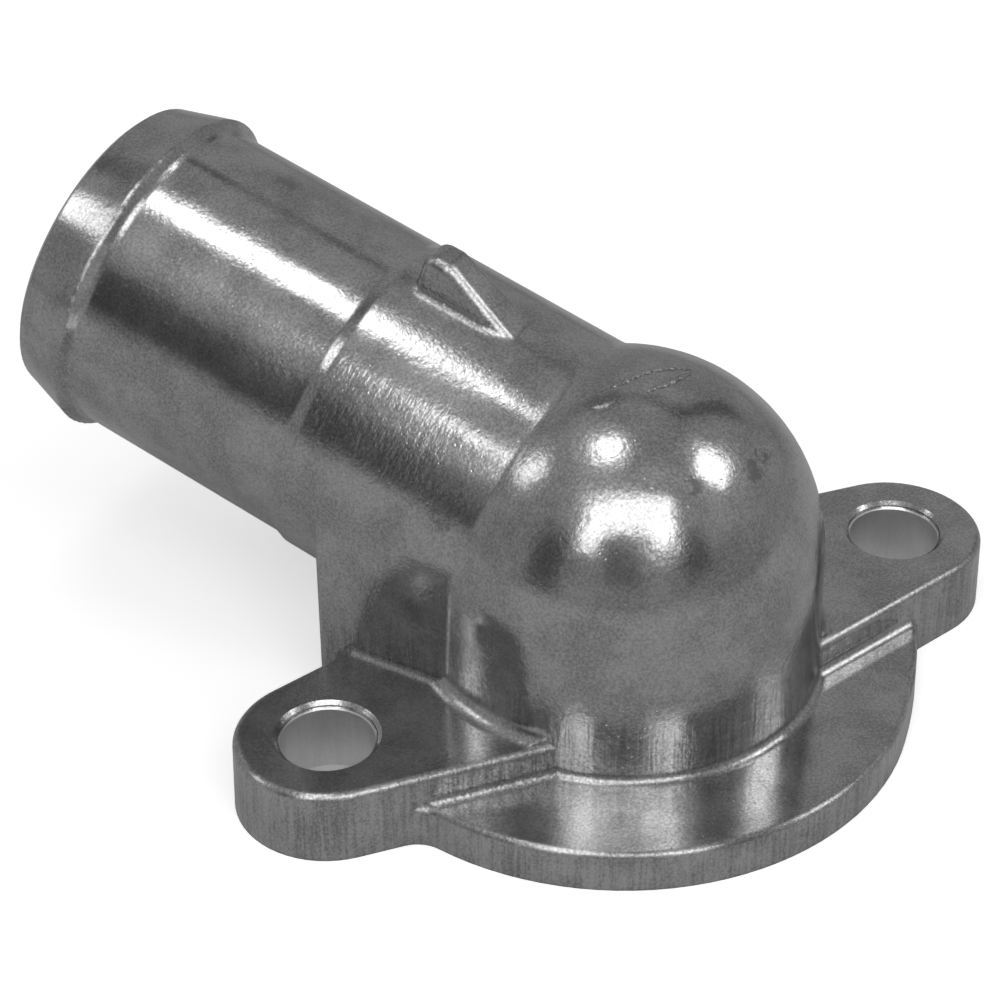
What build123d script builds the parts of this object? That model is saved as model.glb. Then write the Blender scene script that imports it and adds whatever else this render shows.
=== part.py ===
from build123d import *
import math
import os

# Coolant water outlet, die cast in one piece.
# All sizes are millimetres. Origin: on the mounting face, midway between the bolt holes.
# X runs along the line of the bolt holes, +Z leaves the mounting face through the dome.

# Flange: two thick ears on a thinner round disc
bolt_spacing = 76.2
bolt_hole_diameter = 10.5
bolt_rim_width = 0.75
bolt_rim_depth = 0.8
ear_thickness = 8.85
ear_end_radius = 10.6
ear_bar_middle_radius = 17.2
disc_thickness = 4.95
disc_radius = 34.0
disc_offset_x = -0.8
disc_offset_y = 0.25
flare_start_angle = 46.0
flare_reach = 2.2
flare_radius = 70.0
flare_corner_radius = 2.1
flange_draft = 1.5
ear_corner_radius = 4.0
ear_edge_radius = 0.8
disc_edge_radius = 0.7
ear_step_fillet = 1.2

# Dome
dome_offset_y = 0.6
dome_radius = 22.5
dome_center_height = 20.4
dome_draft = 1.5
dome_foot_on_disc = 1.0
dome_foot_on_ears = 2.0
dome_wall = 3.2

# Neck: its axis starts a little above the centre of the dome
neck_rise = 0.35
neck_turn = 120.7
neck_tilt = 15.2
hose_diameter = 37.9
neck_step_height = 0.5
neck_step_start = 33.8
neck_step_length = 1.4
neck_step_radius = 1.2
neck_wall = 3.0
neck_crease_fillet = 1.6

# Bead that keeps the hose on, at the free end
bead_cone_length = 7.25
bead_rise_length = 1.1
bead_height = 1.25
bead_taper = 16.4
bead_crest_radius = 0.4
bead_foot_chamfer = 0.3
neck_length = 71.3
neck_end_chamfer = 0.6
mouth_chamfer = 0.5

# Web that carries the neck down to the flange
web_corner_radius = 1.8
web_edge_radius = 0.7
web_foot_fillet = 1.0

# Fin on top of the neck
fin_tall_end = 31.6
fin_crest_length = 3.2
fin_slope_length = 9.8
fin_height = 4.5
fin_foot_width = 5.8
fin_top_width = 4.2
fin_corner_radius = 1.6
fin_edge_radius = 1.2
fin_foot_fillet = 1.0

# Derived sizes
spread = math.asin((ear_bar_middle_radius - ear_end_radius)/(bolt_spacing/2))
fin_low_end = fin_tall_end - fin_crest_length - fin_slope_length
draft_slope = math.tan(math.radians(flange_draft))
dome_slope = math.tan(math.radians(dome_draft))
hose_radius = hose_diameter/2
body_radius = hose_radius + neck_step_height
neck_step_end = neck_step_start + neck_step_length
bead_crest = neck_length - bead_cone_length
bead_shoulder = bead_crest - bead_rise_length
crest_radius = hose_radius + bead_height
dome_foot_radius = dome_radius/math.cos(math.radians(dome_draft)) + dome_center_height*dome_slope
disc_place = Pos(disc_offset_x, disc_offset_y, 0)
dome_place = Pos(0, dome_offset_y, 0)
neck_start_height = dome_center_height + neck_rise
ear_room = bolt_spacing/2 + ear_end_radius - disc_radius - abs(disc_offset_x)
turn = math.radians(neck_turn)
tilt = math.radians(neck_tilt)
away = Vector(math.cos(turn), math.sin(turn), 0)
aside = Vector(-math.sin(turn), math.cos(turn), 0)
neck_place = Plane(
    origin=(0, dome_offset_y, neck_start_height),
    x_dir=aside,
    z_dir=away*math.cos(tilt) + Vector(0, 0, math.sin(tilt)),
)


def ear_bar_face():
    """Plan of the bar from ear to ear: end arcs and the straight sides that spread to the middle."""
    corner_x = bolt_spacing/2 + ear_end_radius*math.sin(spread)
    corner_y = ear_end_radius*math.cos(spread)
    middle = ear_bar_middle_radius/math.cos(spread)
    tip = bolt_spacing/2 + ear_end_radius
    with BuildLine() as line:
        Line((0, -middle), (corner_x, -corner_y))
        ThreePointArc((corner_x, -corner_y), (tip, 0), (corner_x, corner_y))
        Line((corner_x, corner_y), (0, middle))
        Line((0, middle), (-corner_x, corner_y))
        ThreePointArc((-corner_x, corner_y), (-tip, 0), (-corner_x, -corner_y))
        Line((-corner_x, -corner_y), (0, -middle))
    return make_face(line.line)


def web_strip_face(reach):
    """Plan of the strip under the neck, from the dome's centre out to a reach."""
    strip = Rectangle(reach, 2*body_radius, align=(Align.MIN, Align.CENTER))
    return dome_place*Rot(0, 0, neck_turn)*strip


def ear_layer_face():
    """Plan at ear thickness: the bar and the long strip under the web, with blended inner corners."""
    plan = ear_bar_face() + web_strip_face(2*disc_radius)
    inner = []
    for corner in plan.vertices():
        spot = Vector(corner.X, corner.Y - dome_offset_y, 0)
        beside = abs(abs(spot.dot(aside)) - body_radius) < 0.01
        if beside and spot.length < disc_radius - web_corner_radius:
            inner.append(corner)
    return fillet(inner, web_corner_radius)


def corners_on_disc(plan):
    """Corners of a plan that lie on the disc's edge, sorted into web corners and ear corners."""
    web_corners = []
    ear_corners = []
    for corner in plan.vertices():
        off_disc = math.hypot(corner.X - disc_offset_x, corner.Y - disc_offset_y) - disc_radius
        spot = Vector(corner.X, corner.Y - dome_offset_y, 0)
        if abs(off_disc) < 0.01:
            if abs(abs(spot.dot(aside)) - body_radius) < 0.01 and spot.dot(away) > 0:
                web_corners.append(corner)
            else:
                ear_corners.append(corner)
    return web_corners, ear_corners


def flare_end():
    """Point on the front side of the right ear where the disc's flare meets it."""
    start = Vector(-disc_offset_x, -disc_offset_y - ear_bar_middle_radius/math.cos(spread), 0)
    along = Vector(math.cos(spread), math.sin(spread), 0)
    half = start.dot(along)
    reach = disc_radius + flare_reach
    return start + along*(math.sqrt(half**2 - start.length**2 + reach**2) - half)


def flare_face():
    """Plan of the shallow arc that widens the disc toward the right ear, on the front side."""
    angle = math.radians(flare_start_angle)
    begin = Vector(disc_radius*math.cos(angle), -disc_radius*math.sin(angle), 0)
    end = flare_end()
    with BuildLine() as line:
        RadiusArc(begin, end, -flare_radius)
        Polyline(end, (0.7*end.X, 0, 0), (0.7*begin.X, 0, 0), begin)
    return disc_place*make_face(line.line)


def base_plan_face():
    """Plan at disc thickness: the disc with its flare, the bar and the strip, with blended corners."""
    plan = disc_place*Circle(disc_radius) + ear_bar_face()
    front_right = flare_end() + Vector(disc_offset_x, disc_offset_y, 0)
    corners = [v for v in corners_on_disc(plan)[1] if v.X < 0 or v.Y > 0]
    plan = fillet(corners, min(ear_corner_radius, 0.3*ear_room)) + flare_face()
    corner = plan.vertices().sort_by_distance(front_right)[0]
    return fillet(corner, flare_corner_radius)


def rounded_layer(plan, thickness, radius):
    """Drafted plate with its top edge rounded."""
    plate = extrude(plan, thickness, taper=flange_draft)
    return fillet(plate.faces().sort_by(Axis.Z)[-1].edges(), radius)


def corner_strip(foot, out, along, radius, length):
    """Concave fillet strip in the corner between a wall and a level face."""
    place = Plane(origin=foot, x_dir=out, z_dir=along)
    rise = radius if place.y_dir.Z > 0 else -radius
    with BuildLine(place) as line:
        Polyline((-radius/2, -rise/2), (radius, -rise/2), (radius, 0))
        RadiusArc((radius, 0), (0, rise), rise)
        Polyline((0, rise), (-radius/2, rise), (-radius/2, -rise/2))
    return extrude(make_face(line.line), length, dir=along)


def dome_flare(height, radius):
    """Ring that flares the dome wall into a level face."""
    wall_radius = dome_foot_radius - (height + radius)*dome_slope
    with BuildLine(Plane.XZ) as line:
        Polyline(
            (wall_radius, height + radius),
            (wall_radius - radius, height + radius),
            (wall_radius - radius, height - radius/2),
            (wall_radius + radius, height - radius/2),
            (wall_radius + radius, height),
        )
        RadiusArc((wall_radius + radius, height), (wall_radius, height + radius), radius)
    return dome_place*revolve(make_face(line.line), Axis.Z)


def make_dome():
    """Round cap on a drafted wall."""
    lean = math.radians(dome_draft)
    edge = (dome_radius*math.cos(lean), dome_center_height + dome_radius*math.sin(lean))
    middle = (dome_radius*math.cos(math.pi/4), dome_center_height + dome_radius*math.sin(math.pi/4))
    top = (0, dome_center_height + dome_radius)
    with BuildLine(Plane.XZ) as line:
        Polyline((0, 0), (dome_foot_radius, 0), edge)
        ThreePointArc(edge, middle, top)
        Line(top, (0, 0))
    return dome_place*revolve(make_face(line.line), Axis.Z)


def make_neck():
    """Round neck with its step, hose length, bead and end, cut off level with the mounting face."""
    end_radius = crest_radius - (neck_length - bead_crest)*math.tan(math.radians(bead_taper))
    with BuildLine(Plane.XZ) as line:
        Polyline(
            (0, 0),
            (body_radius, 0),
            (body_radius, neck_step_start),
            (hose_radius, neck_step_end),
            (hose_radius, bead_shoulder),
            (crest_radius, bead_crest),
            (end_radius, neck_length),
            (0, neck_length),
            (0, 0),
        )
    profile = make_face(line.line)
    for level, operation, size in (
        (neck_step_start, fillet, neck_step_radius),
        (neck_step_end, fillet, neck_step_radius),
        (bead_shoulder, chamfer, bead_foot_chamfer),
        (bead_crest, fillet, bead_crest_radius),
        (neck_length, chamfer, neck_end_chamfer),
    ):
        corners = [v for v in profile.vertices() if abs(v.Z - level) < 0.001 and v.X > 1]
        profile = operation(corners, size)
    neck = neck_place.location*revolve(profile, Axis.Z)
    under_face = Pos(0, 0, -2*body_radius)*Box(4*dome_radius, 4*dome_radius, 4*body_radius)
    return neck - under_face


def make_fin():
    """Wedge on top of the neck: a short level crest at the hose end, then a slope down to the dome."""
    sunk = body_radius - 2
    top = body_radius + fin_height
    low = body_radius - 0.2
    with BuildLine(Plane.YZ) as line:
        Polyline(
            (sunk, fin_low_end),
            (low, fin_low_end),
            (top, fin_tall_end - fin_crest_length),
            (top, fin_tall_end),
            (sunk, fin_tall_end),
            (sunk, fin_low_end),
        )
    outline = make_face(line.line)
    corners = [v for v in outline.vertices() if abs(v.Y - top) < 0.001]
    side = extrude(fillet(corners, fin_corner_radius), fin_foot_width, both=True)
    with BuildLine(Plane.XY.offset(fin_low_end - 1)) as line:
        Polyline(
            (-fin_foot_width/2, sunk),
            (fin_foot_width/2, sunk),
            (fin_top_width/2, top + 1),
            (-fin_top_width/2, top + 1),
            (-fin_foot_width/2, sunk),
        )
    section = extrude(make_face(line.line), fin_tall_end - fin_low_end + 3)
    fin = side & section
    rounded = [e for e in fin.edges() if (e @ 0.5).Y > body_radius - 0.3 and abs((e @ 0.5).X) > 1]
    return fillet(rounded, fin_edge_radius)


def make_web():
    """Arch along the neck with flat sides tangent to it, its end flush with the disc's edge."""
    plan = web_strip_face(2*disc_radius) & disc_place*Circle(disc_radius)
    plan = fillet(corners_on_disc(plan)[0], web_edge_radius)
    depth = 2*neck_start_height
    with BuildLine() as line:
        CenterArc((0, 0), body_radius, 0, 180)
        Polyline((-body_radius, 0), (-body_radius, -depth), (body_radius, -depth), (body_radius, 0))
    arch = extrude(make_face(line.line), 2*disc_radius)
    return neck_place.location*arch & extrude(plan, 4*disc_radius)


def on_dome(edge):
    """True for an edge that lies on the dome's outside, beside the neck or the web."""
    cap_edge = dome_center_height + dome_radius*math.sin(math.radians(dome_draft))
    for step in (0.1, 0.5, 0.9):
        spot = (edge @ step) - Vector(0, dome_offset_y, 0)
        if spot.Z > cap_edge:
            gap = (spot - Vector(0, 0, dome_center_height)).length - dome_radius
        else:
            gap = math.hypot(spot.X, spot.Y) - dome_foot_radius + spot.Z*dome_slope
        if abs(gap) > 0.02 or spot.Z < 0.1:
            return False
    middle = (edge @ 0.5) - Vector(0, dome_offset_y, 0)
    flat = abs((edge @ 0).Z - (edge @ 1).Z) < 0.01 and abs((edge @ 0).Z - middle.Z) < 0.01
    return middle.dot(away) > 5 and not flat


def make_flange():
    """Disc layer and ear layer, drafted and with rounded top edges, trimmed at the web's corners."""
    disc = disc_place*Circle(disc_radius)
    long_layer = ear_layer_face()
    layer_plan = (long_layer & disc) + ear_bar_face()
    room = min(edge.length for edge in layer_plan.edges())
    layer_limit = fillet(corners_on_disc(layer_plan)[0], min(web_edge_radius, 0.9*room))
    base = rounded_layer(base_plan_face(), disc_thickness, disc_edge_radius)
    layer = rounded_layer(long_layer, ear_thickness, ear_edge_radius)
    layer = layer & extrude(layer_limit, ear_thickness)
    return base + layer


def make_step_strips():
    """Fillets between the ears' side walls and the disc, one for each side that shows the disc."""
    limit = extrude(offset(base_plan_face(), -disc_edge_radius - 0.1), 3*disc_thickness)
    strips = []
    for side_x, side_y in ((-1, -1), (1, -1), (1, 1)):
        along = Vector(-side_x*math.cos(spread), side_y*math.sin(spread), 0)
        out = Vector(side_x*math.sin(spread), side_y*math.cos(spread), 0)
        inset = ear_end_radius - disc_thickness*draft_slope
        foot = Vector(side_x*bolt_spacing/2, 0, disc_thickness) + out*inset
        strip = corner_strip(foot, out, along, ear_step_fillet, bolt_spacing/2)
        strips.append(strip & limit)
    return strips


def make_web_foot_strips(ear_limit):
    """Fillets between the web's flat sides and the ears' top faces."""
    strips = []
    for side in (-1, 1):
        out = aside*side
        foot = Vector(0, dome_offset_y, ear_thickness) + out*body_radius
        strip = corner_strip(foot, out, away, web_foot_fillet, disc_radius)
        strips.append(strip & ear_limit)
    return strips


def make_chamber():
    """Hollow of the dome, open at the mounting face."""
    inner = dome_radius - dome_wall
    foot = inner + dome_center_height*dome_slope
    middle = (inner*math.cos(math.pi/4), dome_center_height + inner*math.sin(math.pi/4))
    with BuildLine(Plane.XZ) as line:
        Polyline((0, 0), (foot, 0), (inner, dome_center_height))
        ThreePointArc((inner, dome_center_height), middle, (0, dome_center_height + inner))
        Line((0, dome_center_height + inner), (0, 0))
    return dome_place*revolve(make_face(line.line), Axis.Z)


def make_bore():
    """Water passage through the neck, with a chamfered mouth."""
    radius = hose_radius - neck_wall
    with BuildLine(Plane.XZ) as line:
        Polyline(
            (0, 0),
            (radius, 0),
            (radius, neck_length - mouth_chamfer),
            (radius + 2*mouth_chamfer, neck_length + mouth_chamfer),
            (0, neck_length + mouth_chamfer),
            (0, 0),
        )
    return neck_place.location*revolve(make_face(line.line), Axis.Z)


def make_bolt_hole():
    """Cutter for a bolt hole whose upper rim has two bevels with a narrow step between them."""
    radius = bolt_hole_diameter/2
    with BuildLine(Plane.XZ) as line:
        Polyline(
            (0, 0),
            (radius, 0),
            (radius, ear_thickness - bolt_rim_depth),
            (radius + 0.3*bolt_rim_width, ear_thickness - 0.68*bolt_rim_depth),
            (radius + 0.4*bolt_rim_width, ear_thickness - 0.48*bolt_rim_depth),
            (radius + bolt_rim_width, ear_thickness),
            (radius + bolt_rim_width, ear_thickness + 1),
            (0, ear_thickness + 1),
            (0, 0),
        )
    return revolve(make_face(line.line), Axis.Z)


def at_fin_foot(edge):
    """True for an edge where the fin leaves the neck's round surface."""
    for step in (0.1, 0.5, 0.9):
        spot = neck_place.to_local_coords(edge @ step)
        if abs(math.hypot(spot.X, spot.Y) - body_radius) > 0.02 or spot.Y < 0:
            return False
        if abs(spot.X) > fin_foot_width or not fin_low_end - 3 < spot.Z < fin_tall_end + 1:
            return False
    return True


neck = make_neck() + neck_place.location*make_fin()
core = make_dome() + neck + make_web()
crease_room = 0.55*(dome_radius - body_radius)
core = fillet([e for e in core.edges() if on_dome(e)], min(neck_crease_fillet, crease_room))
core = fillet([e for e in core.edges() if at_fin_foot(e)], fin_foot_fillet)
casting = core + make_flange()
ear_inside = offset(ear_bar_face(), -1.3*ear_edge_radius)
ear_limit = extrude(ear_inside, 2*ear_thickness)
for strip in make_step_strips() + make_web_foot_strips(ear_limit):
    casting += strip
casting += dome_flare(disc_thickness, dome_foot_on_disc)
casting += dome_flare(ear_thickness, dome_foot_on_ears) & ear_limit
casting = casting - make_chamber() - make_bore()
for side in (-1, 1):
    casting -= Pos(side*bolt_spacing/2, 0, 0)*make_bolt_hole()
os.makedirs("parts", exist_ok=True)
export_step(casting, "parts/outlet_casting.step")
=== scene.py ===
"""Coolant water outlet: the neck's whole step, finish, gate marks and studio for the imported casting.

Laid out as an add-on and run as a script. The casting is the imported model, with the neck's step
carried round over the top. This file also gives it the bare die-cast metal, adds the low marks that
the die left, and sets the studio around it.
"""

import math

import bpy
import numpy as np
from mathutils import Matrix, Vector


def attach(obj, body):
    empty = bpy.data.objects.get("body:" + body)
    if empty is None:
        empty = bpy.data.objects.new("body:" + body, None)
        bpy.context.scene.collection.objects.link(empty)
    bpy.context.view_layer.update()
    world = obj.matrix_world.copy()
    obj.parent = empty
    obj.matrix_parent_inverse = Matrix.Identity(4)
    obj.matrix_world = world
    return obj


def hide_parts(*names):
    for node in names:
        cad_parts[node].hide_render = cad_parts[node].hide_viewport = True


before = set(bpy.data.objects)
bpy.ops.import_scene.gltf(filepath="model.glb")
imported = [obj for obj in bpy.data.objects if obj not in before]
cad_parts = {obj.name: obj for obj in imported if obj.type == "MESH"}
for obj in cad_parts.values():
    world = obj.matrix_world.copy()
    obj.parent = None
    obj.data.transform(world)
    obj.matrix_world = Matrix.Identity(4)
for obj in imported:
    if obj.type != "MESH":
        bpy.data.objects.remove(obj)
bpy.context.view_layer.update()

bl_info = {
    "name": "Coolant water outlet",
    "version": (1, 0, 0),
    "blender": (4, 5, 0),
    "location": "3D View > Sidebar > Outlet",
    "description": "Die-cast finish, gate marks and studio for a coolant water outlet",
    "category": "Object",
}

MM = 0.001

# Sizes of the casting that the finish follows, in millimetres
DOME_CENTER = (0.0, 0.6, 20.4)
DOME_RADIUS = 22.5
HOSE_RADIUS = 18.95
BODY_RADIUS = 19.45
NECK_START = (0.0, 0.6, 20.75)
NECK_TURN = math.radians(120.7)
NECK_TILT = math.radians(15.2)
NECK_AXIS = Vector((
    math.cos(NECK_TURN)*math.cos(NECK_TILT), math.sin(NECK_TURN)*math.cos(NECK_TILT), math.sin(NECK_TILT)
))
NECK_NEAR = Vector((-math.sin(NECK_TURN), math.cos(NECK_TURN), 0.0))
NECK_TOP = NECK_AXIS.cross(NECK_NEAR)
STEP_START = 33.8
STEP_LENGTH = 1.4
STEP_ROUNDING = 1.2
BOLT_SPACING = 76.2
BOLT_HOLE_RADIUS = 5.25

# The patch that carries the step over the neck's top: how far before and after the step's start it
# runs, how far it reaches down each side, and how far outside its facets' radii a corner still counts
PATCH_BEFORE = 0.4
PATCH_AFTER = 7.2
PATCH_SIDE = math.radians(66)
NECK_TOP_SIDE = math.radians(84)
CHORD_ROOM = 0.06
ROUND_ROOM = 0.03
PATCH_COLUMNS = 97
STEP_ROWS = 19
STEP_MARGIN = 0.21
SAME_PLACE = 1e-3

# Radius of the rounding that the die's worn corners get in the material, in millimetres
CORNER_RADIUS = 0.45


# Stains of the skin: place and radius in millimetres, and how much darker, or lighter below nought
STAINS = (
    ((-0.4, -14.0, 37.5), 0.8, 0.9),
    ((7.3, -13.4, 36.4), 0.9, 0.9),
    ((9.4, -12.2, 36.6), 0.6, 0.7),
    ((-20.2, 41.7, 52.4), 1.2, 0.5),
    ((-22.5, 2.1, 30.2), 0.7, 0.6),
)


def linear(hex_colour):
    """An sRGB hex colour as linear red, green, blue and alpha."""
    parts = [int(hex_colour[i:i + 2], 16)/255 for i in (1, 3, 5)]
    return tuple(c/12.92 if c <= 0.04045 else ((c + 0.055)/1.055)**2.4 for c in parts) + (1.0,)


def add_node(tree, kind, settings=None, inputs=None):
    """Adds one node: settings are its properties, inputs its sockets' values or what feeds them."""
    node = tree.nodes.new(kind)
    for name, value in (settings or {}).items():
        setattr(node, name, value)
    for name, value in (inputs or {}).items():
        if isinstance(value, bpy.types.NodeSocket):
            tree.links.new(value, node.inputs[name])
        else:
            node.inputs[name].default_value = value
    return node


def calc(tree, operation, *values):
    """One sum, product or other calculation on numbers or sockets."""
    return add_node(tree, "ShaderNodeMath", {"operation": operation}, dict(enumerate(values))).outputs[0]


def ramp(tree, value, start, end, low=0.0, high=1.0):
    """A smooth step from low at start to high at end, of a value in a socket."""
    return add_node(tree, "ShaderNodeMapRange", {"interpolation_type": "SMOOTHSTEP"}, {
        "Value": value, "From Min": start, "From Max": end, "To Min": low, "To Max": high,
    }).outputs["Result"]


def along(tree, place, direction):
    """How far a place lies along a direction."""
    return add_node(tree, "ShaderNodeVectorMath", {"operation": "DOT_PRODUCT"}, {
        0: place, 1: tuple(direction),
    }).outputs["Value"]


def noise(tree, place, width, detail=2.0, roughness=0.5, seed=0.0):
    """Noise whose bumps are about one width across, as a value from 0 to 1."""
    shift = (37*seed, 11*seed, 23*seed)
    moved = add_node(tree, "ShaderNodeVectorMath", {"operation": "ADD"}, {0: place, 1: shift})
    return add_node(tree, "ShaderNodeTexNoise", inputs={
        "Vector": moved.outputs["Vector"], "Scale": 1/width, "Detail": detail, "Roughness": roughness,
    }).outputs["Fac"]


class OutletFinishSettings(bpy.types.PropertyGroup):
    """Colours and grain of the bare die-cast metal."""

    metal_colour: bpy.props.FloatVectorProperty(
        name="Metal", description="Colour of the bare casting", subtype="COLOR", size=4,
        min=0, max=1, default=linear("#c0c0c0"),
    )
    stain_colour: bpy.props.FloatVectorProperty(
        name="Stain", description="Colour where the skin is stained darker", subtype="COLOR", size=4,
        min=0, max=1, default=linear("#8a8a8a"),
    )
    bored_colour: bpy.props.FloatVectorProperty(
        name="Bored metal", description="Colour where a drill has cut the skin away", subtype="COLOR", size=4,
        min=0, max=1, default=linear("#f4f4f4"),
    )
    roughness: bpy.props.FloatProperty(
        name="Roughness", description="Roughness of the cast skin", subtype="FACTOR",
        min=0, max=1, default=0.16,
    )
    pebble: bpy.props.FloatProperty(
        name="Pebble", description="Width of one bump of the cast skin", subtype="DISTANCE",
        unit="LENGTH", min=0.1*MM, max=5*MM, default=0.75*MM,
    )
    pebble_height: bpy.props.FloatProperty(
        name="Pebble height", description="Height of the bumps of the cast skin", subtype="DISTANCE",
        unit="LENGTH", min=0, max=1*MM, default=0.026*MM,
    )


class OutletStudioSettings(bpy.types.PropertyGroup):
    """Camera, lights and floor."""

    lens: bpy.props.FloatProperty(
        name="Lens", description="Focal length of the camera on a 36 mm sensor, in millimetres",
        min=10, max=400, default=99.1,
    )
    azimuth: bpy.props.FloatProperty(
        name="Azimuth", description="Side that the camera stands on, from the front", subtype="ANGLE",
        default=math.radians(-29.46),
    )
    elevation: bpy.props.FloatProperty(
        name="Elevation", description="Height of the camera above the horizon", subtype="ANGLE",
        default=math.radians(35.48),
    )
    roll: bpy.props.FloatProperty(
        name="Roll", description="Turn of the camera about its own axis", subtype="ANGLE",
        default=math.radians(-0.30),
    )
    camera_place: bpy.props.FloatVectorProperty(
        name="Camera place", description="Where the camera stands", subtype="TRANSLATION",
        unit="LENGTH", size=3, default=(-134.63*MM, -209.51*MM, 204.06*MM),
    )
    floor_colour: bpy.props.FloatVectorProperty(
        name="Floor", description="Colour of the pale floor", subtype="COLOR", size=4, min=0, max=1,
        default=linear("#f0f0f0"),
    )
    floor_glow: bpy.props.FloatProperty(
        name="Floor glow", description="Light that the floor gives off by itself, as a lit table does",
        min=0, max=10, default=0.5,
    )
    floor_in_metal: bpy.props.FloatVectorProperty(
        name="Floor in the metal", description="Colour of the floor where the metal mirrors it",
        subtype="COLOR", size=4, min=0, max=1, default=linear("#c8c8c8"),
    )
    room_strength: bpy.props.FloatProperty(
        name="Room light", description="Strength of the light from the walls", min=0, max=10, default=0.335,
    )


def skin_height(tree, place, settings):
    """Height of the cast skin in millimetres, its cloud pattern, and its upright streaks of colour.

    The height holds pebbles, strokes across the neck, upright draw lines on low walls, and pits.
    """
    offset = add_node(tree, "ShaderNodeVectorMath", {"operation": "SUBTRACT"}, {0: place, 1: NECK_START})
    spot = offset.outputs["Vector"]
    out = along(tree, spot, NECK_AXIS)
    near = along(tree, spot, NECK_NEAR)
    top = along(tree, spot, NECK_TOP)
    angle = calc(tree, "ARCTAN2", near, top)
    height = along(tree, place, (0, 0, 1))
    up = along(tree, add_node(tree, "ShaderNodeNewGeometry").outputs["Normal"], (0, 0, 1))
    cloud = noise(tree, place, 11.0, 3.0, 0.55, 3.0)

    pebble = settings.pebble/MM
    peak = settings.pebble_height/MM
    pebbles = calc(tree, "MULTIPLY", noise(tree, place, pebble, 2.5, 0.55), peak)
    # Level tops are smoother than the dome and the neck
    level = calc(tree, "MULTIPLY", ramp(tree, up, 0.9, 0.98), ramp(tree, height, 11.0, 10.0))
    worn = ramp(tree, cloud, 0.35, 0.65, 0.45, 1.35)
    worn = calc(tree, "MULTIPLY", worn, ramp(tree, level, 0, 1, 1.0, 0.25))
    pebbles = calc(tree, "MULTIPLY", pebbles, worn)

    around = calc(tree, "MULTIPLY", angle, HOSE_RADIUS)
    unrolled = add_node(tree, "ShaderNodeCombineXYZ", inputs={
        "X": out, "Y": calc(tree, "MULTIPLY", around, 0.35), "Z": 0.0,
    }).outputs["Vector"]
    strokes = calc(tree, "MULTIPLY", noise(tree, unrolled, 0.42, 2.0, 0.55, 1.0), 0.7*peak)
    on_neck = calc(tree, "MULTIPLY", ramp(tree, out, 15.0, 21.0), ramp(tree, height, 13.0, 17.0))
    # They are deepest on the flank of the body, and shallow on the hose length
    flank = calc(tree, "MULTIPLY", ramp(tree, angle, 0.5, 0.75), ramp(tree, angle, 1.45, 1.15))
    flank = calc(tree, "MULTIPLY", flank, ramp(tree, out, 33.0, 36.0, 1.0, 0.35))
    on_neck = calc(tree, "MULTIPLY", on_neck, ramp(tree, flank, 0, 1, 0.2, 1.3))
    strokes = calc(tree, "MULTIPLY", strokes, on_neck)

    upright = add_node(tree, "ShaderNodeVectorMath", {"operation": "MULTIPLY"}, {
        0: place, 1: (1.0, 1.0, 0.05),
    }).outputs["Vector"]
    draws = calc(tree, "MULTIPLY", noise(tree, upright, 0.45, 2.0, 0.6, 2.0), 0.8*peak)
    wall = ramp(tree, calc(tree, "ABSOLUTE", up), 0.35, 0.15)
    steep = calc(tree, "MULTIPLY", wall, ramp(tree, height, 16.0, 10.0))
    draws = calc(tree, "MULTIPLY", draws, steep)

    cell = add_node(tree, "ShaderNodeTexVoronoi", inputs={"Vector": place, "Scale": 1/1.1})
    pits = ramp(tree, cell.outputs["Distance"], 0.05, 0.17, -0.35*peak, 0.0)
    total = calc(tree, "ADD", calc(tree, "ADD", pebbles, strokes), calc(tree, "ADD", draws, pits))
    streaks = ramp(tree, noise(tree, upright, 0.55, 2.0, 0.7, 7.0), 0.3, 0.7, -0.28, 0.28)
    streaks = calc(tree, "MULTIPLY", streaks, steep)
    return total, cloud, streaks


def stains(tree, place):
    """Where the skin is stained darker, or rubbed lighter where the value is below nought."""
    ragged = ramp(tree, noise(tree, place, 0.9, 3.0, 0.7, 8.0), 0.3, 0.7, -0.9, 0.9)
    total = 0.0
    for spot, radius, depth in STAINS:
        reach = add_node(tree, "ShaderNodeVectorMath", {"operation": "DISTANCE"}, {0: place, 1: spot})
        reach = calc(tree, "ADD", reach.outputs["Value"], ragged)
        total = calc(tree, "ADD", total, ramp(tree, reach, radius + 0.5, radius - 0.5, 0.0, depth))
    return total


def in_bolt_hole(tree, place, beyond=0.1):
    """One in the two bolt holes and as far beyond their walls as given, and nought elsewhere."""
    across = calc(tree, "SUBTRACT", calc(tree, "ABSOLUTE", along(tree, place, (1, 0, 0))), BOLT_SPACING/2)
    reach = calc(tree, "SQRT", calc(tree, "ADD", calc(tree, "POWER", across, 2.0),
                                    calc(tree, "POWER", along(tree, place, (0, 1, 0)), 2.0)))
    return ramp(tree, reach, BOLT_HOLE_RADIUS + beyond + 0.05, BOLT_HOLE_RADIUS + beyond - 0.05)


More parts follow.
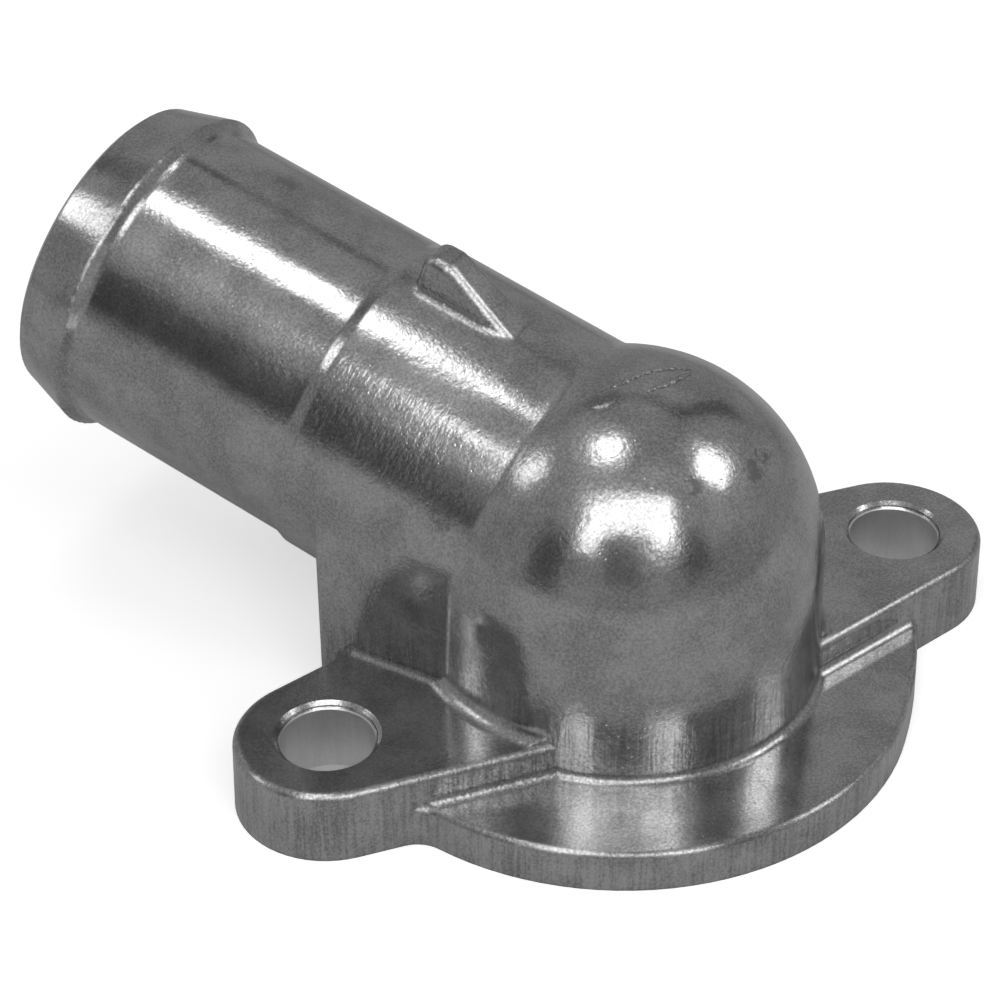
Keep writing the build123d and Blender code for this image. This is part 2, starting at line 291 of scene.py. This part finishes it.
def die_cast_aluminium(settings):
    """Bare die-cast aluminium.

    Poured under pressure into a steel die and left as it came out: mid grey, half glossy, with a
    fine pebbled skin, cloudy patches where the skin chilled, and small dark stains.
    """
    material = bpy.data.materials.new("die_cast_aluminium")
    material.use_nodes = True
    tree = material.node_tree
    tree.nodes.clear()
    place = add_node(tree, "ShaderNodeVectorMath", {"operation": "SCALE"}, {
        "Vector": add_node(tree, "ShaderNodeTexCoord").outputs["Object"], "Scale": 1/MM,
    }).outputs["Vector"]
    height, cloud, streaks = skin_height(tree, place, settings)
    rough = ramp(tree, cloud, 0.3, 0.7, settings.roughness - 0.03, settings.roughness + 0.07)
    speckle = noise(tree, place, 0.3, 2.0, 0.7, 5.0)
    patch = noise(tree, place, 6.0, 4.0, 0.6, 6.0)
    shade = ramp(tree, speckle, 0.25, 0.75, 0.0, 0.8)
    shade = calc(tree, "ADD", shade, ramp(tree, patch, 0.35, 0.65, -0.2, 0.2))
    shade = calc(tree, "ADD", shade, calc(tree, "ADD", streaks, stains(tree, place)))
    colour = add_node(tree, "ShaderNodeMix", {"data_type": "RGBA"}, {
        "Factor": shade, "A": settings.metal_colour, "B": settings.stain_colour,
    }).outputs["Result"]
    bored = in_bolt_hole(tree, place)
    rough = calc(tree, "ADD", rough, calc(tree, "MULTIPLY", bored, 0.2))
    colour = add_node(tree, "ShaderNodeMix", {"data_type": "RGBA"}, {
        "Factor": calc(tree, "MULTIPLY", bored, 0.7), "A": colour, "B": settings.bored_colour,
    })
    # The die's worn corners are rounder than the drawing's, but not the holes' cut rims
    not_rim = calc(tree, "SUBTRACT", 1.0, in_bolt_hole(tree, place, 1.2))
    cast_corner = calc(tree, "MULTIPLY", not_rim, CORNER_RADIUS*MM)
    rounded = add_node(tree, "ShaderNodeBevel", {"samples": 2}, {"Radius": cast_corner})
    bump = add_node(tree, "ShaderNodeBump", inputs={
        "Strength": 1.0, "Distance": MM, "Height": height, "Normal": rounded.outputs["Normal"],
    })
    shader = add_node(tree, "ShaderNodeBsdfPrincipled", inputs={
        "Base Color": colour.outputs["Result"], "Metallic": 1.0, "Roughness": rough,
        "Normal": bump.outputs["Normal"],
    })
    add_node(tree, "ShaderNodeOutputMaterial", inputs={"Surface": shader.outputs["BSDF"]})
    return material


def cut(corners, height):
    """Triangles split where the height of their corners passes nought: the part above and the part below.

    A triangle with one corner on its own side gives a tip there and two triangles on the other side.
    Corners hold a place and a normal, and both are mixed by the share of the edge at the split.
    """
    high = height > 0
    count = high.sum(axis=1)
    parts = {True: [corners[count == 3]], False: [corners[count == 0]]}
    for tip_is_high in (True, False):
        chosen = count == (1 if tip_is_high else 2)
        first = (high[chosen] == tip_is_high).argmax(axis=1)
        order = (first[:, None] + np.arange(3)) % 3
        turned = np.take_along_axis(corners[chosen], order[:, :, None], axis=1)
        level = np.take_along_axis(height[chosen], order, axis=1)
        tip, left, right = turned[:, 0], turned[:, 1], turned[:, 2]
        on_left = tip + (left - tip)*(level[:, :1]/(level[:, :1] - level[:, 1:2]))
        on_right = tip + (right - tip)*(level[:, :1]/(level[:, :1] - level[:, 2:3]))
        parts[tip_is_high].append(np.stack([tip, on_left, on_right], axis=1))
        parts[not tip_is_high].append(np.stack([on_left, left, right], axis=1))
        parts[not tip_is_high].append(np.stack([on_left, right, on_right], axis=1))
    return np.concatenate(parts[True]), np.concatenate(parts[False])


def neck_coordinates(corners):
    """Distance out along the neck, angle from its top toward the near side, and radius of each corner."""
    spot = corners[..., :3] - np.array(NECK_START)
    near = spot @ np.array(NECK_NEAR)
    top = spot @ np.array(NECK_TOP)
    return spot @ np.array(NECK_AXIS), np.arctan2(near, top), np.hypot(near, top)


def step_profile(out):
    """Radius of the neck at a distance along it, and the slope there.

    The body's radius runs on to the step, falls along a cone to the hose radius, and each of the two
    corners is an arc that starts half its own length before the corner and ends as far behind it.
    """
    fall = (BODY_RADIUS - HOSE_RADIUS)/STEP_LENGTH
    half = STEP_ROUNDING*math.tan(math.atan(fall)/2)
    step_end = STEP_START + STEP_LENGTH
    knots = [STEP_START - half, STEP_START + half, step_end - half, step_end + half]
    slope = np.interp(out, knots, [0.0, -fall, -fall, 0.0])
    fine = np.linspace(knots[0], knots[3], 400)
    steps = np.interp(fine, knots, [0.0, -fall, -fall, 0.0])
    sunk = np.concatenate([[0.0], np.cumsum((steps[1:] + steps[:-1])/2*np.diff(fine))])
    return BODY_RADIUS + np.interp(out, fine, sunk), slope


def chord_radius(angle, seam_angle, seam_radius):
    """Radius at an angle on the straight chords that join the seam's corners."""
    after = np.clip(np.searchsorted(seam_angle, angle), 1, len(seam_angle) - 1)
    a, b = seam_angle[after - 1], seam_angle[after]
    r, q = seam_radius[after - 1], seam_radius[after]
    return r*q*np.sin(b - a)/(r*np.sin(angle - a) + q*np.sin(b - angle))


def nearest(levels, corners):
    """For each level, the index of the corner that lies nearest to it, of corners in rising order."""
    after = np.clip(np.searchsorted(corners, levels), 1, len(corners) - 1)
    return np.where(levels - corners[after - 1] < corners[after] - levels, after - 1, after)


def step_patch(seams, side):
    """The neck's step from one seam to the other, over the top of the neck to an angle on each side.

    A grid of angle and distance: the radius is the step's profile, scaled at every angle by how far
    the seams' chords lie inside their circles. Its first and last rows use only the seams' own
    corners, so the patch and the facets beside it share their edges.
    """
    start, end = seams[0][0], seams[1][0]
    columns = np.linspace(-side, side, PATCH_COLUMNS)
    angles = np.unique(np.round(np.concatenate([seams[0][1], seams[1][1], columns]), 5))
    angles = angles[(angles > -side - 1e-4) & (angles < side + 1e-4)]
    step_end = STEP_START + STEP_LENGTH
    rows = np.linspace(STEP_START - STEP_MARGIN, step_end + STEP_MARGIN, STEP_ROWS)
    outs = np.concatenate([[start], rows, [end]])
    radius, slope = step_profile(outs)
    radii = (BODY_RADIUS, HOSE_RADIUS)
    scale = [chord_radius(angles, seam[1], seam[2])/flat for seam, flat in zip(seams, radii)]
    share = ((outs - start)/(end - start))[:, None]
    reach = radius[:, None]*((1 - share)*scale[0] + share*scale[1])
    axis, near, top = np.array(NECK_AXIS), np.array(NECK_NEAR), np.array(NECK_TOP)
    turn = np.repeat(angles[None, :], len(outs), axis=0)
    for row, seam in ((0, seams[0]), (-1, seams[1])):
        index = nearest(angles[1:-1], seam[1])
        turn[row, 1:-1] = seam[1][index]
        reach[row, 1:-1] = seam[2][index]
    outward = np.sin(turn)[:, :, None]*near + np.cos(turn)[:, :, None]*top
    place = np.array(NECK_START) + outs[:, None, None]*axis + reach[:, :, None]*outward
    normal = outward - slope[:, None, None]*axis
    normal = normal/np.linalg.norm(normal, axis=2, keepdims=True)
    grid = np.concatenate([place, normal], axis=2)
    a, b, c, d = grid[:-1, :-1], grid[:-1, 1:], grid[1:, 1:], grid[1:, :-1]
    halves = (np.stack([a, c, b], axis=2), np.stack([a, d, c], axis=2))
    return np.concatenate([half.reshape(-1, 3, 6) for half in halves])


def seam_of(corners, level):
    """Angles and radii of the corners that lie on the cut at one distance along the neck."""
    out, angle, radius = neck_coordinates(corners)
    on_seam = np.abs(out - level) < SAME_PLACE
    angle, index = np.unique(np.round(angle[on_seam], 5), return_index=True)
    return level, angle, radius[on_seam][index]


def whole_step_corners(casting):
    """The casting's triangles, with the neck's step carried round over the top of the neck.

    The body's surface and the hose's surface are cut at two distances along the neck, what lies between
    them over the top is taken out, and the patch with the step's real profile is set in.
    """
    mesh = casting.data
    mesh.calc_loop_triangles()
    loops = np.empty(len(mesh.loop_triangles)*3, dtype=np.int32)
    mesh.loop_triangles.foreach_get("loops", loops)
    points = np.empty(len(mesh.vertices)*3)
    mesh.vertices.foreach_get("co", points)
    owners = np.empty(len(mesh.loops), dtype=np.int32)
    mesh.loops.foreach_get("vertex_index", owners)
    normals = np.empty(len(mesh.loops)*3)
    mesh.corner_normals.foreach_get("vector", normals)
    places = points.reshape(-1, 3)[owners[loops]]/MM
    corners = np.concatenate([places, normals.reshape(-1, 3)[loops]], axis=1).reshape(-1, 3, 6)
    start, end = STEP_START - PATCH_BEFORE, STEP_START + PATCH_AFTER
    out, angle, radius = neck_coordinates(corners)
    on_neck = (radius > HOSE_RADIUS - CHORD_ROOM) & (radius < BODY_RADIUS + ROUND_ROOM)
    on_neck = (on_neck & (np.abs(angle) < NECK_TOP_SIDE)).all(axis=1)
    on_neck = on_neck & (out.max(axis=1) > start) & (out.min(axis=1) < end)
    kept = [corners[~on_neck]]
    rest, before = cut(corners[on_neck], out[on_neck] - start)
    after, rest = cut(rest, neck_coordinates(rest)[0] - end)
    kept += [before, after]
    for way in (1, -1):
        beside, rest = cut(rest, way*neck_coordinates(rest)[1] - PATCH_SIDE)
        kept.append(beside)
    kept.append(step_patch((seam_of(before, start), seam_of(after, end)), PATCH_SIDE))
    return np.concatenate(kept)


class OUTLET_OT_casting(bpy.types.Operator):
    """Sets the neck's whole step into the casting and gives it its bare die-cast metal"""

    bl_idname = "outlet.casting"
    bl_label = "Finish the casting"

    def execute(self, context):
        corners = whole_step_corners(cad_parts["outlet_casting"])
        flat = corners.reshape(-1, 6)
        places, index = np.unique(np.round(flat[:, :3], 4), axis=0, return_inverse=True)
        faces = index.reshape(-1, 3)
        whole = (faces[:, 0] != faces[:, 1]) & (faces[:, 1] != faces[:, 2]) & (faces[:, 2] != faces[:, 0])
        mesh = bpy.data.meshes.new("outlet_body")
        mesh.from_pydata((places*MM).tolist(), [], faces[whole].tolist())
        mesh.shade_smooth()
        mesh.normals_split_custom_set(corners[whole][:, :, 3:].reshape(-1, 3).tolist())
        body = bpy.data.objects.new("outlet_body", mesh)
        context.scene.collection.objects.link(body)
        mesh.materials.append(die_cast_aluminium(context.scene.outlet_finish))
        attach(body, "root")
        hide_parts("outlet_casting")
        return {"FINISHED"}


def soft_box(name, azimuth, elevation, width, height, radiance, distance=0.9):
    """One rectangular light at a direction from the part, as wide and high in degrees as it is seen."""
    a, e = math.radians(azimuth), math.radians(elevation)
    way = Vector((math.sin(a)*math.cos(e), -math.cos(a)*math.cos(e), math.sin(e)))
    light = bpy.data.lights.new(name, "AREA")
    light.shape = "RECTANGLE"
    light.size = 2*distance*math.tan(math.radians(width/2))
    light.size_y = 2*distance*math.tan(math.radians(height/2))
    light.energy = radiance*math.pi*light.size*light.size_y
    holder = bpy.data.objects.new(name, light)
    holder.location = Vector((0, 0, 25*MM)) + way*distance
    holder.rotation_mode = "QUATERNION"
    holder.rotation_quaternion = (-way).to_track_quat("-Z", "Y")
    bpy.context.scene.collection.objects.link(holder)
    return holder


# Low ridges that the gate and the die's joints left on the dome: places from above, in millimetres
GATE_MARKS = (
    ((-6.1, -1.6), (-5.2, -2.2), (-3.4, -2.5)),
    ((-2.7, -0.3), (-1.7, -0.5), (0.0, -0.1), (1.2, 0.2), (2.6, 0.3), (3.9, 0.3), (6.4, 0.1), (7.6, -0.3)),
    ((7.2, -0.9), (5.1, -1.8), (3.0, -2.5), (1.7, -2.6), (0.4, -2.8)),
)
GATE_MARK_WIDTH = 0.75
GATE_MARK_HEIGHT = 0.2
GATE_MARK_SIDES = 12


def gate_mark(path):
    """Corners and faces of one ridge on the dome's sphere, in millimetres.

    The path is walked in even steps. Round each of its points stands an ellipse as wide and twice as
    high as the ridge, half sunk in the sphere, which shrinks toward both ends as a sine's root does.
    """
    points = np.array(path)
    walked = np.concatenate([[0.0], np.cumsum(np.hypot(*np.diff(points, axis=0).T))])
    steps = np.linspace(0.0, walked[-1], max(12, int(walked[-1]/0.12)))
    flat = np.stack([np.interp(steps, walked, points[:, 0]), np.interp(steps, walked, points[:, 1])], axis=1)
    center = np.array(DOME_CENTER)
    spot = flat - center[:2]
    rise = np.sqrt(DOME_RADIUS**2 - (spot**2).sum(axis=1))
    up = np.concatenate([spot, rise[:, None]], axis=1)/DOME_RADIUS
    ahead = np.gradient(center + up*DOME_RADIUS, axis=0)
    side = np.cross(up, ahead)
    side = side/np.linalg.norm(side, axis=1, keepdims=True)
    size = np.sqrt(np.sin(np.linspace(0.02, math.pi - 0.02, len(steps))))*(1 + 0.25*np.sin(steps*4.1))
    sides = GATE_MARK_SIDES
    turn = np.linspace(0, 2*math.pi, sides, endpoint=False)
    across = size[:, None]*np.cos(turn)*GATE_MARK_WIDTH/2
    above = size[:, None]*np.sin(turn)*GATE_MARK_HEIGHT
    rings = center + up[:, None]*(DOME_RADIUS + above[:, :, None]) + side[:, None]*across[:, :, None]
    row, column = np.meshgrid(np.arange(len(steps) - 1), np.arange(sides), indexing="ij")
    here, beside = row*sides + column, row*sides + (column + 1) % sides
    quads = np.stack([here, here + sides, beside + sides, beside], axis=-1).reshape(-1, 4)
    last = sides*len(steps)
    ends = [list(range(sides)), list(range(last - 1, last - sides - 1, -1))]
    return rings.reshape(-1, 3), quads.tolist() + ends


class OUTLET_OT_gate_marks(bpy.types.Operator):
    """Adds the low ridges that the gate left on top of the dome"""

    bl_idname = "outlet.gate_marks"
    bl_label = "Add the gate marks"

    def execute(self, context):
        corners, faces = [], []
        for path in GATE_MARKS:
            places, sides = gate_mark(path)
            faces += [[index + len(corners) for index in side] for side in sides]
            corners += (places*MM).tolist()
        mesh = bpy.data.meshes.new("gate_marks")
        mesh.from_pydata(corners, [], faces)
        mesh.shade_smooth()
        marks = bpy.data.objects.new("gate_marks", mesh)
        context.scene.collection.objects.link(marks)
        mesh.materials.append(bpy.data.materials["die_cast_aluminium"])
        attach(marks, "root")
        return {"FINISHED"}


# Soft boxes: name, azimuth, elevation, width and height as seen from the part in degrees, radiance
SOFT_BOXES = (
    ("key_bar", -27, 52, 47, 20, 2.5),
    ("key_left", -56, 36, 11, 14, 2.1),
    ("key_right", -5, 35.5, 13, 14, 2.1),
    ("top", -122, 81.5, 12.5, 13, 4.4),
    ("right", 63, 46, 17, 17, 3.1),
    ("left_back", -126, 41, 11, 15, 2.3),
)

# Lighter and darker parts of the room: lowest and highest azimuth and elevation in degrees, softness,
# and the change as a share of the room's light
ROOM_PATCHES = (
    (-88, -69, 2, 33, 4, -0.75),
    (-44, -23, 12, 36, 4, -0.50),
    (3, 21, 8, 34, 4, -0.75),
    (106, 115, 18, 52, 2.5, -0.75),
    (106, 181, 49.5, 54, 1.5, -0.80),
    (-181, -156, 48.5, 53, 1.5, -0.80),
    (-86, -66, 44, 70, 7, 0.35),
    (-66, 40, 62, 76, 7, 0.45),
    (35, 85, 24, 60, 7, 0.25),
)


class OUTLET_OT_studio(bpy.types.Operator):
    """Sets the floor, the soft lights and the camera"""

    bl_idname = "outlet.studio"
    bl_label = "Set the studio"

    def execute(self, context):
        studio = context.scene.outlet_studio
        self.make_floor(studio)
        self.make_room(studio)
        for box in SOFT_BOXES:
            soft_box(*box)
        self.make_camera(context, studio)
        return {"FINISHED"}

    def make_floor(self, studio):
        reach = 3.0
        mesh = bpy.data.meshes.new("floor")
        mesh.from_pydata(
            [(-reach, -reach, 0), (reach, -reach, 0), (reach, reach, 0), (-reach, reach, 0)], [], [(0, 1, 2, 3)]
        )
        floor = bpy.data.objects.new("floor", mesh)
        bpy.context.scene.collection.objects.link(floor)
        material = bpy.data.materials.new("matt_white_paper")
        material.use_nodes = True
        # Only the camera sees the glow, so it lights nothing
        material.cycles.emission_sampling = "NONE"
        tree = material.node_tree
        tree.nodes.clear()
        paper = add_node(tree, "ShaderNodeBsdfDiffuse", inputs={"Color": studio.floor_colour})
        glow = add_node(tree, "ShaderNodeEmission", inputs={"Strength": studio.floor_glow})
        seen = add_node(tree, "ShaderNodeAddShader", inputs={
            0: paper.outputs["BSDF"], 1: glow.outputs["Emission"],
        })
        mirrored = add_node(tree, "ShaderNodeBsdfDiffuse", inputs={"Color": studio.floor_in_metal})
        place = add_node(tree, "ShaderNodeVectorMath", {"operation": "SCALE"}, {
            "Vector": add_node(tree, "ShaderNodeTexCoord").outputs["Object"], "Scale": 1/MM,
        }).outputs["Vector"]
        # The table does not glow at the bottom of the two bolt holes
        open_floor = calc(tree, "SUBTRACT", 1.0, in_bolt_hole(tree, place))
        direct = add_node(tree, "ShaderNodeLightPath").outputs["Is Camera Ray"]
        glowing = calc(tree, "MULTIPLY", direct, open_floor)
        shader = add_node(tree, "ShaderNodeMixShader", inputs={
            0: glowing,
            1: mirrored.outputs["BSDF"], 2: seen.outputs["Shader"],
        })
        add_node(tree, "ShaderNodeOutputMaterial", inputs={"Surface": shader.outputs["Shader"]})
        mesh.materials.append(material)

    def make_room(self, studio):
        world = bpy.data.worlds.new("room")
        world.use_nodes = True
        tree = world.node_tree
        way = add_node(tree, "ShaderNodeTexCoord").outputs["Generated"]
        azimuth = calc(tree, "ARCTAN2", along(tree, way, (1, 0, 0)), along(tree, way, (0, -1, 0)))
        azimuth = calc(tree, "DEGREES", azimuth)
        elevation = calc(tree, "DEGREES", calc(tree, "ARCSINE", along(tree, way, (0, 0, 1))))
        look = add_node(tree, "ShaderNodeCombineXYZ", inputs={"X": azimuth, "Y": elevation}).outputs["Vector"]
        light = ramp(tree, elevation, 0, 80, 1.0, 1.14)
        for left, right, low, high, soft, change in ROOM_PATCHES:
            # Inputs 6, 7 and 8 are the vector, From Min and From Max of a map range between vectors
            middle = ((left + right)/2, (low + high)/2, 0)
            off = add_node(tree, "ShaderNodeVectorMath", {"operation": "SUBTRACT"}, {0: look, 1: middle})
            off = add_node(tree, "ShaderNodeVectorMath", {"operation": "ABSOLUTE"}, {0: off.outputs["Vector"]})
            edges = add_node(tree, "ShaderNodeMapRange", {
                "data_type": "FLOAT_VECTOR", "interpolation_type": "SMOOTHSTEP",
            }, {
                6: off.outputs["Vector"],
                7: ((right - left)/2 + soft, (high - low)/2 + soft, 1),
                8: ((right - left)/2 - soft, (high - low)/2 - soft, 0),
            })
            edges = add_node(tree, "ShaderNodeSeparateXYZ", inputs={"Vector": edges.outputs["Vector"]})
            inside = calc(tree, "MULTIPLY", edges.outputs["X"], edges.outputs["Y"])
            light = calc(tree, "MULTIPLY_ADD", inside, change, light)
        light = calc(tree, "MULTIPLY", light, studio.room_strength)
        back = tree.nodes["Background"]
        back.inputs["Color"].default_value = (1, 1, 1, 1)
        tree.links.new(light, back.inputs["Strength"])
        bpy.context.scene.world = world

    def make_camera(self, context, studio):
        a, e = studio.azimuth, studio.elevation
        back = Vector((math.sin(a)*math.cos(e), -math.cos(a)*math.cos(e), math.sin(e)))
        right = Vector((math.cos(a), math.sin(a), 0))
        up = back.cross(right)
        c, s = math.cos(studio.roll), math.sin(studio.roll)
        turned_right = right*c + up*s
        turned_up = up*c - right*s
        data = bpy.data.cameras.new("photo_camera")
        data.lens = studio.lens
        data.sensor_width = 36
        data.clip_start = 0.01
        data.clip_end = 20
        camera = bpy.data.objects.new("photo_camera", data)
        matrix = Matrix((turned_right, turned_up, back)).transposed().to_4x4()
        matrix.translation = Vector(studio.camera_place)
        camera.matrix_world = matrix
        context.scene.collection.objects.link(camera)
        context.scene.camera = camera
        context.scene.view_settings.view_transform = "Standard"


class OUTLET_PT_panel(bpy.types.Panel):
    """Lists the outlet's settings and steps"""

    bl_label = "Coolant water outlet"
    bl_idname = "OUTLET_PT_panel"
    bl_space_type = "VIEW_3D"
    bl_region_type = "UI"
    bl_category = "Outlet"

    def draw(self, context):
        layout = self.layout
        for group in (context.scene.outlet_finish, context.scene.outlet_studio):
            box = layout.box()
            for name in group.__annotations__:
                box.prop(group, name)
        for step in STEPS:
            layout.operator(step.bl_idname)


STEPS = (OUTLET_OT_casting, OUTLET_OT_gate_marks, OUTLET_OT_studio)
CLASSES = (OutletFinishSettings, OutletStudioSettings) + STEPS + (OUTLET_PT_panel,)


def register():
    for cls in CLASSES:
        bpy.utils.register_class(cls)
    bpy.types.Scene.outlet_finish = bpy.props.PointerProperty(type=OutletFinishSettings)
    bpy.types.Scene.outlet_studio = bpy.props.PointerProperty(type=OutletStudioSettings)


def unregister():
    del bpy.types.Scene.outlet_studio
    del bpy.types.Scene.outlet_finish
    for cls in reversed(CLASSES):
        bpy.utils.unregister_class(cls)


def main():
    """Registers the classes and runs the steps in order."""
    register()
    bpy.ops.outlet.casting()
    bpy.ops.outlet.gate_marks()
    bpy.ops.outlet.studio()


if __name__ == "__main__":
    main()
